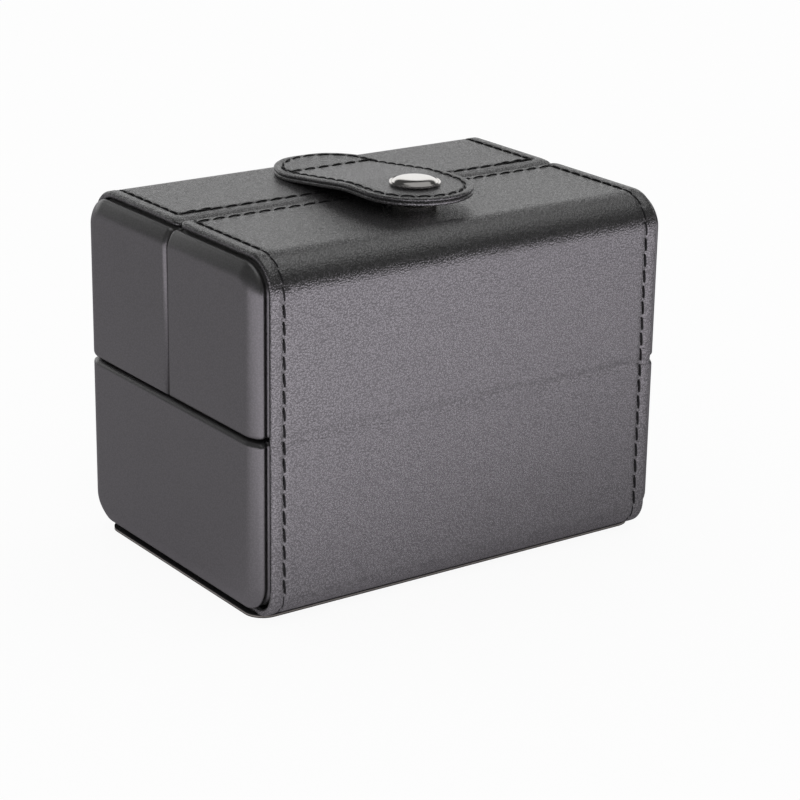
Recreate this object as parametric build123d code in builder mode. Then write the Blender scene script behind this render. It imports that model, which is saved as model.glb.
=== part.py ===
"""Double watch box: a leather-covered box with two half lids, a snap strap and two watch pillows.

Frame: origin on the table under the middle of the box, +X along its length, +Z up.
The front face, towards -Y, is the one that the strap's snap is nearest to.
"""

import os

from build123d import *

# Size over the leather
box_length = 95.0
box_depth = 65.0
box_height = 70.0

# Layers, from the outside in
bottom_sheet_thickness = 0.6
cover_thickness = 1.3
glue_gap = 0.05
skin_thickness = 0.7
pad_thickness = 2.0
board_thickness = 2.0
lining_thickness = 0.7

# Outer cover
cover_inset = 2.9
cover_top_bend = 7.0
cover_bottom_bend = 5.5
cover_edge_round = 0.55
cover_corner_round = 1.6
# The rear lid's seam edge rolls down, from this far back, by this much
seam_roll_depth = 4.5
seam_roll_drop = 0.9
hinge_height = 36.0
crease_gap = 0.2

# Wrapped boxes under the cover
end_round = 3.6
rim_round = 1.0
rim_gap = 0.6
seam_gap = 0.6
turn_in = 6.0

# Bottom sheet
bottom_sheet_length = 91.2
bottom_sheet_depth = 57.0
bottom_sheet_corner = 4.0

# Divider and pillows
divider_thickness = 2.4
divider_height = 28.0
divider_round = 1.0
pillow_length = 38.0
pillow_depth = 45.6
pillow_height = 42.0
pillow_corner = 13.0
pillow_crown = 1.6
pillow_floor_gap = 0.3
pillow_flat_depth = 0.5
# How far along the pillow each section stands, and its size against the middle one
pillow_sections = [(0.0, 0.70), (0.035, 0.84), (0.11, 0.94), (0.26, 0.985), (0.5, 1.0)]

# Strap: a pill outline, sewn to the rear lid up to its flex line
strap_width = 22.6
strap_flex_y = 16.0
strap_front_y = -13.0
strap_leather_thickness = 0.8
strap_backing_thickness = 0.8
strap_edge_round = 0.3
strap_lift = 2.4
strap_rise_start_y = 15.0
strap_rise_end_y = -5.4
strap_bend_radius = 30.0
# The sewn end follows the top rear bend from this angle above level, through this sweep
strap_bend_start = 45.0
strap_bend_sweep = 45.0
strap_gap = 0.25
strap_flex_gap = 0.3

# Snap fastener
snap_post_radius = 1.4
snap_hole_radius = 1.5
cap_radius = 5.0
cap_rim = 0.3
cap_dome = 1.25
socket_radius = 5.0
socket_height = 1.7
socket_round = 0.5
socket_cavity_radius = 2.6
socket_mouth_radius = 2.15
socket_lip = 0.1
socket_roof = 0.4
clinch_radius = 2.0
clinch_thickness = 0.2
spring_radius = 2.2
spring_wire = 0.25
stud_flange_radius = 4.6
stud_flange_thickness = 0.45
stud_neck_radius = 1.6
stud_ball_radius = 2.0
stud_ball_low = 1.55
stud_height = 1.95
stud_ball_round = 0.18
rivet_flange_radius = 4.2
rivet_flange_thickness = 0.5

# Worked out
half_length = box_length / 2
half_depth = box_depth / 2
cover_half_length = half_length - cover_inset
block_bend = cover_top_bend - cover_thickness - glue_gap
block_half_depth = half_depth - cover_thickness - glue_gap
block_top = box_height - cover_thickness - glue_gap
block_bottom = bottom_sheet_thickness + cover_thickness + glue_gap
base_rim = hinge_height - rim_gap / 2
lid_rim = hinge_height + rim_gap / 2
lid_seam = seam_gap / 2
board_half_length = half_length - skin_thickness - pad_thickness
hollow_half_length = board_half_length - board_thickness
hollow_half_depth = block_half_depth - skin_thickness - board_thickness
hollow_floor = block_bottom + skin_thickness + board_thickness
hollow_ceiling = block_top - skin_thickness - board_thickness
lined_floor = hollow_floor + lining_thickness
lined_ceiling = hollow_ceiling - lining_thickness
tolerance = 0.01


def base_block(inset):
    """Return the rounded block of the base box, every face drawn in by inset."""
    depth = block_half_depth - inset
    low = block_bottom + inset
    high = base_rim - inset
    with BuildPart() as block:
        with BuildSketch(Plane.YZ) as side:
            with BuildLine():
                Polyline((-depth, low), (depth, low), (depth, high), (-depth, high), close=True)
            make_face()
            fillet(side.vertices().group_by(Axis.Y)[0], block_bend - inset)
        extrude(amount=half_length - inset, both=True)
        outline = block.faces().filter_by(Axis.X).edges()
        outline = outline.filter_by_position(Axis.Z, low - tolerance, high - tolerance)
        fillet(outline, end_round - inset)
    return block.part


def lid_block(inset):
    """Return the rounded block of the front lid box, every face drawn in by inset."""
    outer = -block_half_depth + inset
    inner = -lid_seam - inset
    low = lid_rim + inset
    high = block_top - inset
    with BuildPart() as block:
        with BuildSketch(Plane.YZ) as side:
            with BuildLine():
                Polyline((inner, low), (inner, high), (outer, high), (outer, low), close=True)
            make_face()
            top_outer = side.vertices().group_by(Axis.Y)[-1].sort_by(Axis.X)[0]
            fillet(top_outer, block_bend - inset)
        extrude(amount=half_length - inset, both=True)
        outline = block.faces().filter_by(Axis.X).edges()
        outline = outline.filter_by_position(Axis.Z, low + tolerance, high + tolerance)
        outline = outline.filter_by_position(Axis.Y, outer - tolerance, inner - tolerance)
        fillet(outline, end_round - inset)
    return block.part


def base_hollow(inset, low, high):
    """Return the solid that fills the base's hollow between two heights, its sides drawn in by inset."""
    with BuildPart() as hollow:
        with BuildSketch(Plane.XY.offset(low)):
            Rectangle(2 * (hollow_half_length - inset), 2 * (hollow_half_depth - inset))
        extrude(amount=high - low)
    return hollow.part


def lid_hollow(inset, low, inner):
    """Return the solid that fills the front lid's hollow above low and outside inner."""
    outer = -hollow_half_depth + inset
    with BuildPart() as hollow:
        with BuildSketch(Plane.XY.offset(low)):
            with Locations((0, (outer + inner) / 2)):
                Rectangle(2 * (hollow_half_length - inset), inner - outer)
        extrude(amount=hollow_ceiling - inset - low)
    return hollow.part


def between_ends(core):
    """Return the part of a core that its boards take up, between the two end pads."""
    with BuildPart() as middle:
        add(core)
        split(bisect_by=Plane.YZ.offset(board_half_length), keep=Keep.BOTTOM)
        split(bisect_by=Plane.YZ.offset(-board_half_length), keep=Keep.TOP)
    return middle.part


def end_pad(core):
    """Return the foam pad on the right end of a core, rounded off at its outer edges."""
    with BuildPart() as pad:
        add(core)
        split(bisect_by=Plane.YZ.offset(board_half_length), keep=Keep.TOP)
    return pad.part


def cover_ring():
    """Return the outer cover's closed band round the box, before it is cut into its three parts."""
    low = bottom_sheet_thickness
    with BuildPart() as ring:
        with BuildSketch(Plane.YZ) as side:
            with BuildLine():
                Polyline(
                    (-half_depth, low),
                    (half_depth, low),
                    (half_depth, box_height),
                    (-half_depth, box_height),
                    close=True,
                )
            make_face()
            fillet(side.vertices().group_by(Axis.Y)[0], cover_bottom_bend)
            fillet(side.vertices().group_by(Axis.Y)[-1], cover_top_bend)
            offset(amount=-cover_thickness, mode=Mode.SUBTRACT)
        extrude(amount=cover_half_length, both=True)
    return ring.part


def lid_cover(ring):
    """Return the front lid's part of the outer cover, its edges turned over and rounded."""
    with BuildPart() as cover:
        add(ring)
        split(bisect_by=Plane.XY.offset(hinge_height + crease_gap / 2), keep=Keep.TOP)
        split(bisect_by=Plane.XZ.offset(lid_seam), keep=Keep.TOP)
        seam_corners = cover.faces().sort_by(Axis.Y)[-1].edges().filter_by(Axis.Z)
        fillet(seam_corners, cover_corner_round)
        top_edges = cover.faces().filter_by(Axis.Z).sort_by(Axis.Z)[-1].edges()
        bend_side = top_edges.sort_by(Axis.Y)[0]
        fillet(top_edges - [bend_side], cover_edge_round)
    return cover.part


def seam_roll():
    """Return the sliver that the rear lid's rolled seam edge leaves open under the level top."""
    with BuildPart() as sliver:
        with BuildSketch(Plane.YZ):
            with BuildLine():
                level = Line((0, box_height), (seam_roll_depth, box_height))
                rolled = TangentArc(level @ 1, (0, box_height - seam_roll_drop), tangent=(-1, 0))
                Line(rolled @ 1, level @ 0)
            make_face()
        extrude(amount=half_length, both=True)
    return sliver.part


def strap_band(low, high, rounded_above):
    """Return the strap between two depths of its thickness, cut to its pill outline.

    Its outer edge is rounded, on the upper face or on the lower one.
    """
    bend_centre_y = half_depth - cover_top_bend
    bend_centre_z = box_height - cover_top_bend
    with BuildPart() as band:
        for thickness, mode in ((high, Mode.ADD), (low, Mode.SUBTRACT)):
            if thickness > 0:
                with BuildSketch(Plane.YZ):
                    with BuildLine():
                        bend = CenterArc(
                            (bend_centre_y, bend_centre_z), cover_top_bend, strap_bend_start, strap_bend_sweep
                        )
                        FilletPolyline(
                            bend @ 1,
                            (strap_rise_start_y, box_height),
                            (strap_rise_end_y, box_height + strap_lift),
                            (-half_depth, box_height + strap_lift),
                            radius=strap_bend_radius,
                        )
                        offset(amount=thickness, side=Side.RIGHT)
                    make_face()
                extrude(amount=strap_width, both=True, mode=mode)
        with BuildSketch(Plane.XY.offset(bend_centre_z)):
            with Locations((0, (strap_flex_y + strap_front_y) / 2)):
                SlotCenterToCenter(strap_flex_y - strap_front_y, strap_width, rotation=90)
        extrude(amount=2 * cover_top_bend, mode=Mode.INTERSECT)
        walls = band.faces().filter_by(lambda face: abs(face.normal_at().Z) < 0.05)
        upper = band.faces().filter_by(lambda face: face.normal_at().Z > 0.5)
        lower = band.faces().filter_by(lambda face: face.normal_at().Z < -0.5)
        shown = upper if rounded_above else lower
        fillet(shown.edges() & walls.edges(), strap_edge_round)
    return band.part


def upright_hole(x, y, radius):
    """Return a long upright pin that is taken away where a post passes through layers of the top."""
    with BuildPart() as hole:
        with BuildSketch(Plane.XY.offset(hinge_height)):
            with Locations((x, y)):
                Circle(radius)
        extrude(amount=box_height)
    return hole.part


def pillow_section(size):
    """Return the half width, the half height and the crown of a pillow section of this size."""
    return pillow_depth / 2 * size, pillow_height / 2 * size, pillow_crown * size


def pillow(centre_x):
    """Return one watch pillow: crowned on every side, drawn in at both ends, flat where it rests."""
    floor = lined_floor + pillow_floor_gap
    centre_z = floor + pillow_height / 2
    along = [(place, size) for place, size in pillow_sections]
    along += [(1 - place, size) for place, size in reversed(pillow_sections[:-1])]
    with BuildPart() as cushion:
        for place, size in along:
            across, up, crown = pillow_section(size)
            corner = pillow_corner * size
            with BuildSketch(Plane.YZ.offset(centre_x + (place - 0.5) * pillow_length)):
                with BuildLine():
                    top = ThreePointArc(
                        (-across + corner, centre_z + up - crown),
                        (0, centre_z + up),
                        (across - corner, centre_z + up - crown),
                    )
                    front = ThreePointArc(
                        (across - crown, centre_z + up - corner),
                        (across, centre_z),
                        (across - crown, centre_z - up + corner),
                    )
                    bottom = ThreePointArc(
                        (across - corner, centre_z - up + crown),
                        (0, centre_z - up),
                        (-across + corner, centre_z - up + crown),
                    )
                    back = ThreePointArc(
                        (-across + crown, centre_z - up + corner),
                        (-across, centre_z),
                        (-across + crown, centre_z + up - corner),
                    )
                    TangentArc(top @ 1, front @ 0, tangent=top % 1)
                    TangentArc(front @ 1, bottom @ 0, tangent=front % 1)
                    TangentArc(bottom @ 1, back @ 0, tangent=bottom % 1)
                    TangentArc(back @ 1, top @ 0, tangent=back % 1)
                make_face()
        loft()
        split(bisect_by=Plane.XY.offset(floor + pillow_flat_depth), keep=Keep.TOP)
    return cushion.part


def finish(part, name):
    """Label a finished piece and write its STEP file."""
    part.label = name
    export_step(part, f"parts/{name}.step")


os.makedirs("parts", exist_ok=True)

# Outer cover: one sheet on the real box, cut here at its two hinge creases
ring = cover_ring()
lid_cover_form = lid_cover(ring)
roll_form = seam_roll()
strap_hole = upright_hole(0, strap_front_y, snap_hole_radius)

with BuildPart() as base_cover:
    add(ring)
    split(bisect_by=Plane.XY.offset(hinge_height - crease_gap / 2), keep=Keep.BOTTOM)
    # A round starts on the long straight edges and runs on round the bends
    side_edges = base_cover.faces().filter_by(Axis.X).edges()
    long_edges = [edge for edge in side_edges if edge.length > hinge_height / 2]
    fillet(long_edges, cover_edge_round)

with BuildPart() as front_lid_cover:
    add(lid_cover_form)
    add(strap_hole, mode=Mode.SUBTRACT)

with BuildPart() as rear_lid_cover:
    mirror(lid_cover_form, about=Plane.XZ)
    add(roll_form, mode=Mode.SUBTRACT)

with BuildPart() as bottom_sheet:
    with BuildSketch():
        RectangleRounded(bottom_sheet_length, bottom_sheet_depth, bottom_sheet_corner)
    extrude(amount=bottom_sheet_thickness)

# Base box: board tray, foam pads on its ends, leather skin over both, velvet inside
base_outside = base_block(0)
base_core = base_block(skin_thickness)
base_middle = between_ends(base_core)
base_pad = end_pad(base_core)
base_tray_space = base_hollow(0, hollow_floor, base_rim)
base_lined_space = base_hollow(lining_thickness, lined_floor, base_rim)
base_turned_in = base_hollow(0, base_rim - turn_in, base_rim - skin_thickness)
base_lining_space = base_hollow(0, hollow_floor, base_rim - turn_in)

with BuildPart() as base_board:
    add(base_middle)
    add(base_tray_space, mode=Mode.SUBTRACT)

with BuildPart() as base_pad_left:
    mirror(base_pad, about=Plane.YZ)

with BuildPart() as base_pad_right:
    add(base_pad)

with BuildPart() as base_skin:
    add(base_outside)
    fillet(base_skin.faces().sort_by(Axis.Z)[-1].edges(), rim_round)
    add(base_core, mode=Mode.SUBTRACT)
    add(base_turned_in)
    add(base_lined_space, mode=Mode.SUBTRACT)

with BuildPart() as base_lining:
    add(base_lining_space)
    add(base_lined_space, mode=Mode.SUBTRACT)

with BuildPart() as divider:
    with BuildSketch(Plane.YZ):
        with BuildLine():
            low = lined_floor
            high = lined_floor + divider_height
            depth = hollow_half_depth - lining_thickness
            Polyline((-depth, low), (depth, low), (depth, high), (-depth, high), close=True)
        make_face()
    extrude(amount=divider_thickness / 2, both=True)
    fillet(divider.faces().sort_by(Axis.Z)[-1].edges().filter_by(Axis.Y), divider_round)

# Lid boxes: the rear one is the front one's mirror image, without the snap's hole
lid_outside = lid_block(0)
lid_core = lid_block(skin_thickness)
lid_middle = between_ends(lid_core)
lid_pad = end_pad(lid_core)
lid_tray_space = lid_hollow(0, lid_rim, 0)
lid_lined_space = lid_hollow(lining_thickness, lid_rim, 0)
lid_behind_rim = lid_hollow(0, lid_rim + skin_thickness, -lid_seam - skin_thickness)
lid_lining_space = lid_hollow(0, lid_rim + turn_in, -lid_seam - turn_in)

with BuildPart() as rear_lid_board:
    add(lid_middle)
    add(lid_tray_space, mode=Mode.SUBTRACT)
    mirror(about=Plane.XZ, mode=Mode.REPLACE)

with BuildPart() as front_lid_board:
    mirror(rear_lid_board.part, about=Plane.XZ)
    add(strap_hole, mode=Mode.SUBTRACT)

with BuildPart() as front_lid_pad_left:
    mirror(lid_pad, about=Plane.YZ)

with BuildPart() as front_lid_pad_right:
    add(lid_pad)

with BuildPart() as rear_lid_pad_left:
    mirror(front_lid_pad_left.part, about=Plane.XZ)

with BuildPart() as rear_lid_pad_right:
    mirror(lid_pad, about=Plane.XZ)

with BuildPart() as rear_lid_skin:
    add(lid_outside)
    rim_edges = rear_lid_skin.faces().sort_by(Axis.Z)[0].edges()
    seam_edges = rear_lid_skin.faces().sort_by(Axis.Y)[-1].edges()
    fillet(rim_edges.sort_by(Axis.Y)[:-1] + seam_edges.sort_by(Axis.Z)[1:], rim_round)
    add(lid_core, mode=Mode.SUBTRACT)
    add(lid_behind_rim)
    add(lid_lining_space, mode=Mode.SUBTRACT)
    add(lid_lined_space, mode=Mode.SUBTRACT)
    mirror(about=Plane.XZ, mode=Mode.REPLACE)

with BuildPart() as front_lid_skin:
    mirror(rear_lid_skin.part, about=Plane.XZ)
    add(strap_hole, mode=Mode.SUBTRACT)

with BuildPart() as rear_lid_lining:
    add(lid_lining_space)
    add(lid_lined_space, mode=Mode.SUBTRACT)
    mirror(about=Plane.XZ, mode=Mode.REPLACE)

with BuildPart() as front_lid_lining:
    mirror(rear_lid_lining.part, about=Plane.XZ)
    add(strap_hole, mode=Mode.SUBTRACT)

# Watch pillows, one each side of the divider
compartment_length = hollow_half_length - lining_thickness - divider_thickness / 2
pillow_centre_x = divider_thickness / 2 + compartment_length / 2
pillow_form = pillow(pillow_centre_x)

with BuildPart() as pillow_right:
    add(pillow_form)

with BuildPart() as pillow_left:
    mirror(pillow_form, about=Plane.YZ)

# Strap: two layers, each split at the flex line into its sewn end and its free part
leather_band = strap_band(strap_backing_thickness, strap_backing_thickness + strap_leather_thickness, True)
backing_band = strap_band(0, strap_backing_thickness, False)
free_backing_band = strap_band(strap_gap, strap_backing_thickness, False)
flex_behind = Plane.XZ.offset(-strap_flex_y - strap_flex_gap / 2)
flex_ahead = Plane.XZ.offset(-strap_flex_y + strap_flex_gap / 2)

with BuildPart() as strap_end_leather:
    add(leather_band)
    split(bisect_by=flex_behind, keep=Keep.BOTTOM)

with BuildPart() as strap_end_backing:
    add(backing_band)
    split(bisect_by=flex_behind, keep=Keep.BOTTOM)

with BuildPart() as strap_leather:
    add(leather_band)
    split(bisect_by=flex_ahead, keep=Keep.TOP)
    add(strap_hole, mode=Mode.SUBTRACT)

with BuildPart() as strap_backing:
    add(free_backing_band)
    split(bisect_by=flex_ahead, keep=Keep.TOP)
    add(strap_hole, mode=Mode.SUBTRACT)

# Snap fastener, all turned about one upright axis
snap_axis = Axis((0, strap_front_y, 0), (0, 0, 1))
snap_plane = Plane.XZ.offset(-strap_front_y)
strap_under = box_height + strap_lift + strap_gap
strap_over = box_height + strap_lift + strap_backing_thickness + strap_leather_thickness
socket_low = strap_under - socket_height
roof_low = strap_under - socket_roof

with BuildPart() as snap_cap:
    with BuildSketch(snap_plane):
        with BuildLine():
            rim = Line((cap_radius, strap_over), (cap_radius, strap_over + cap_rim))
            top = (0, strap_over + cap_dome)
            TangentArc(top, rim @ 1, tangent=(1, 0))
            Polyline(
                top,
                (0, roof_low - clinch_thickness),
                (clinch_radius, roof_low - clinch_thickness),
                (clinch_radius, roof_low),
                (snap_post_radius, roof_low),
                (snap_post_radius, strap_over),
                rim @ 0,
            )
        make_face()
    revolve(axis=snap_axis)

with BuildPart() as snap_socket:
    with BuildSketch(snap_plane) as section:
        with BuildLine():
            Polyline(
                (snap_hole_radius, strap_under),
                (socket_radius, strap_under),
                (socket_radius, socket_low),
                (socket_mouth_radius, socket_low),
                (socket_mouth_radius, socket_low + socket_lip),
                (socket_cavity_radius, socket_low + socket_lip),
                (socket_cavity_radius, roof_low),
                (snap_hole_radius, roof_low),
                close=True,
            )
        make_face()
        fillet(section.vertices().group_by(Axis.X)[-1], socket_round)
    revolve(axis=snap_axis)

with BuildPart() as snap_spring:
    with BuildSketch(snap_plane):
        with Locations((spring_radius, socket_low + socket_lip + spring_wire)):
            Circle(spring_wire)
    revolve(axis=snap_axis)

with BuildPart() as snap_stud:
    with BuildSketch(snap_plane) as section:
        with BuildLine():
            Polyline(
                (0, box_height),
                (stud_flange_radius, box_height),
                (stud_flange_radius, box_height + stud_flange_thickness),
                (stud_neck_radius, box_height + stud_flange_thickness),
                (stud_neck_radius, box_height + stud_ball_low),
                (stud_ball_radius, box_height + stud_ball_low),
                (stud_ball_radius, box_height + stud_height),
                (0, box_height + stud_height),
                close=True,
            )
        make_face()
        ball = section.vertices().filter_by_position(Axis.X, stud_ball_radius, stud_ball_radius)
        fillet(ball, stud_ball_round)
    revolve(axis=snap_axis)

with BuildPart() as snap_rivet:
    with BuildSketch(snap_plane):
        with BuildLine():
            Polyline(
                (0, lined_ceiling - rivet_flange_thickness),
                (rivet_flange_radius, lined_ceiling - rivet_flange_thickness),
                (rivet_flange_radius, lined_ceiling),
                (snap_post_radius, lined_ceiling),
                (snap_post_radius, box_height),
                (0, box_height),
                close=True,
            )
        make_face()
    revolve(axis=snap_axis)

pieces = {
    "base_cover": base_cover,
    "bottom_sheet": bottom_sheet,
    "base_skin": base_skin,
    "base_pad_left": base_pad_left,
    "base_pad_right": base_pad_right,
    "base_board": base_board,
    "base_lining": base_lining,
    "divider": divider,
    "pillow_left": pillow_left,
    "pillow_right": pillow_right,
    "front_lid_cover": front_lid_cover,
    "front_lid_skin": front_lid_skin,
    "front_lid_pad_left": front_lid_pad_left,
    "front_lid_pad_right": front_lid_pad_right,
    "front_lid_board": front_lid_board,
    "front_lid_lining": front_lid_lining,
    "snap_stud": snap_stud,
    "snap_rivet": snap_rivet,
    "rear_lid_cover": rear_lid_cover,
    "rear_lid_skin": rear_lid_skin,
    "rear_lid_pad_left": rear_lid_pad_left,
    "rear_lid_pad_right": rear_lid_pad_right,
    "rear_lid_board": rear_lid_board,
    "rear_lid_lining": rear_lid_lining,
    "strap_end_leather": strap_end_leather,
    "strap_end_backing": strap_end_backing,
    "strap_leather": strap_leather,
    "strap_backing": strap_backing,
    "snap_cap": snap_cap,
    "snap_socket": snap_socket,
    "snap_spring": snap_spring,
}

for name, piece in pieces.items():
    finish(piece.part, name)
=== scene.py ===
"""Looks of the double watch box: grained charcoal leather, black thread, velvet and a polished snap.

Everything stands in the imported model's frame. Lengths are in millimetres and are turned to metres
by MM. Flat leather is laid out on its own pattern, as (across, along, height), and then wrapped on a
path that runs round the box.
"""

import logging
import math
from dataclasses import dataclass, field

import bmesh
import bpy
import numpy as np
from mathutils import Matrix, Vector


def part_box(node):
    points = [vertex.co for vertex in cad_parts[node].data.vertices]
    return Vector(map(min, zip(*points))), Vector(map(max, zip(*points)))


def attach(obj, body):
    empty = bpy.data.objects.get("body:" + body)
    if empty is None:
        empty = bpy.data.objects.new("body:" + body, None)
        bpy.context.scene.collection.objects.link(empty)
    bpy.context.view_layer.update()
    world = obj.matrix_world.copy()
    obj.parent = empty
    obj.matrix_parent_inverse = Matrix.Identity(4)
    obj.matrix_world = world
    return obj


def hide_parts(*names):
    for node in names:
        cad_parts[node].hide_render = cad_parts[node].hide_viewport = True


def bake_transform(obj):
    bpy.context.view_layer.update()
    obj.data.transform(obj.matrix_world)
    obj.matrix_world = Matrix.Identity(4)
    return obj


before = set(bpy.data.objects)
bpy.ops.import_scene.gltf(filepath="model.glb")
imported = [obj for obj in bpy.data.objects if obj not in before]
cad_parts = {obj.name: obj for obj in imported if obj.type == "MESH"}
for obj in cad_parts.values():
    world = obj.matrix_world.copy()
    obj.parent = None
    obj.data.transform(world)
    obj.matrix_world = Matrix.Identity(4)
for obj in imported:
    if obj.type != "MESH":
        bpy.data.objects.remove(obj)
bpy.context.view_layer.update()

MM = 0.001

Rgb = tuple[float, float, float]
Point = tuple[float, float, float]
Pair = tuple[float, float]

log = logging.getLogger("watch box")


# Node graphs


class Signal:
    """A value socket of a node graph, with arithmetic that adds Math nodes."""

    def __init__(self, graph: "Graph", socket: bpy.types.NodeSocket) -> None:
        """Wrap one output socket of a graph."""
        self.graph = graph
        self.socket = socket

    def math(self, operation: str, *others: "Signal | float") -> "Signal":
        """Return a Math node's result, with this value as its first input."""
        inputs = dict(enumerate((self, *others)))
        return self.graph.node("ShaderNodeMath", {"operation": operation}, inputs)

    def __add__(self, other: "Signal | float") -> "Signal":
        """Return the sum."""
        return self.math("ADD", other)

    def __sub__(self, other: "Signal | float") -> "Signal":
        """Return the difference."""
        return self.math("SUBTRACT", other)

    def __mul__(self, other: "Signal | float") -> "Signal":
        """Return the product."""
        return self.math("MULTIPLY", other)

    __radd__ = __add__
    __rmul__ = __mul__

    def __rsub__(self, other: float) -> "Signal":
        """Return a plain number less this value."""
        return self.graph.number(other).math("SUBTRACT", self)

    def __abs__(self) -> "Signal":
        """Return the size without its sign."""
        return self.math("ABSOLUTE")

    def fade(self, low: float, high: float, start: float = 0.0, end: float = 1.0) -> "Signal":
        """Return a smooth change from start to end while this value goes from low to high."""
        inputs = {"Value": self, "From Min": low, "From Max": high, "To Min": start, "To Max": end}
        return self.graph.node("ShaderNodeMapRange", {"interpolation_type": "SMOOTHSTEP"}, inputs)


class Graph:
    """A material's or the world's node graph."""

    def __init__(self, owner: bpy.types.Material | bpy.types.World) -> None:
        """Clear the owner's nodes and keep its tree.

        Args:
            owner: the material or world that is finished.
        """
        owner.use_nodes = True
        self.tree = owner.node_tree
        self.tree.nodes.clear()

    def node(
        self,
        kind: str,
        settings: dict[str, object] | None = None,
        inputs: dict[str | int, object] | None = None,
        output: str | int = 0,
    ) -> Signal:
        """Add a node and return one of its outputs.

        Args:
            kind: the node's type.
            settings: its own properties, which are set first.
            inputs: values or signals of its sockets, by name or place.
            output: the output to return.

        Returns:
            The chosen output.
        """
        made = self.tree.nodes.new(kind)
        for name, value in (settings or {}).items():
            setattr(made, name, value)
        for name, value in (inputs or {}).items():
            if isinstance(value, Signal):
                self.tree.links.new(value.socket, made.inputs[name])
            else:
                made.inputs[name].default_value = value
        return Signal(self, made.outputs[output] if len(made.outputs) else None)

    def number(self, value: float) -> Signal:
        """Return a plain number as a signal."""
        return self.node("ShaderNodeMath", {"operation": "ADD"}, {0: value, 1: 0.0})

    def place(self) -> Signal:
        """Return the point in object coordinates, in metres."""
        return self.node("ShaderNodeTexCoord", output="Object")

    def part_of(self, vector: Signal, axis: str) -> Signal:
        """Return one coordinate of a vector."""
        return self.node("ShaderNodeSeparateXYZ", inputs={0: vector}, output=axis)

    def noise(
        self, size: float, detail: float = 2.0, roughness: float = 0.5, at: Signal | None = None
    ) -> Signal:
        """Add noise.

        Args:
            size: width of its patches, in metres.
            detail: number of finer layers.
            roughness: share of the finer layers.
            at: the point, or the point in object coordinates where none is given.

        Returns:
            The noise, between 0 and 1.
        """
        inputs = {"Vector": at or self.place(), "Scale": 1 / size, "Detail": detail}
        return self.node("ShaderNodeTexNoise", inputs={**inputs, "Roughness": roughness})

    def cells(self, size: float, at: Signal) -> Signal:
        """Return the distance to the nearest of scattered points about size metres apart."""
        inputs = {"Vector": at, "Scale": 1 / size, "Randomness": 1.0}
        return self.node("ShaderNodeTexVoronoi", {"feature": "F1"}, inputs)

    def mix_colour(self, share: Signal | float, first: Rgb | Signal, second: Rgb | Signal) -> Signal:
        """Blend two colours.

        Args:
            share: how much of the second there is.
            first: the first colour.
            second: the second colour.

        Returns:
            The blend.
        """
        def socket(colour: Rgb | Signal) -> object:
            """Return a colour as a socket takes it."""
            return colour if isinstance(colour, Signal) else (*colour, 1.0)

        settings = {"data_type": "RGBA"}
        inputs = {0: share, 6: socket(first), 7: socket(second)}
        return self.node("ShaderNodeMix", settings, inputs, output=2)

    def bump(self, height: Signal, depth: float, strength: float = 1.0) -> Signal:
        """Return a normal that a height between 0 and 1 gives, depth metres high."""
        inputs = {"Height": height, "Distance": depth, "Strength": strength}
        return self.node("ShaderNodeBump", inputs=inputs)

    def principled(
        self,
        colour: Rgb | Signal,
        roughness: float | Signal,
        normal: Signal | None = None,
        **constants: float,
    ) -> Signal:
        """Add one Principled shader.

        Args:
            colour: the base colour, plain or varied.
            roughness: plain or varied.
            normal: the bumped normal.
            constants: values for other sockets, which are the same all over.

        Returns:
            The shader.
        """
        inputs: dict[str | int, object] = {
            "Base Color": colour if isinstance(colour, Signal) else (*colour, 1.0),
            "Roughness": roughness,
        }
        if normal:
            inputs["Normal"] = normal
        inputs |= {name.replace("_", " "): value for name, value in constants.items()}
        return self.node("ShaderNodeBsdfPrincipled", inputs=inputs)

    def finish(self, shader: Signal) -> None:
        """Make a shader the material's surface."""
        self.node("ShaderNodeOutputMaterial", inputs={"Surface": shader})

    def surface(
        self,
        colour: Rgb | Signal,
        roughness: float | Signal,
        normal: Signal | None = None,
        **constants: float,
    ) -> None:
        """Finish a material with one Principled shader, given as principled takes it."""
        self.finish(self.principled(colour, roughness, normal, **constants))


# Finishes


@dataclass(frozen=True)
class Finish:
    """A named finish. Each kind adds its own nodes."""

    name: str
    colour: Rgb

    def tone(self, share: float) -> Rgb:
        """Return the colour, brighter or darker by a share."""
        return tuple(c * share for c in self.colour)

    def dress(self, graph: Graph) -> None:
        """Add the nodes of the finish to a cleared graph."""
        raise NotImplementedError

    def material(self) -> bpy.types.Material:
        """Make the finish.

        Returns:
            The material.
        """
        made = bpy.data.materials.new(self.name)
        self.dress(Graph(made))
        return made


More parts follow.
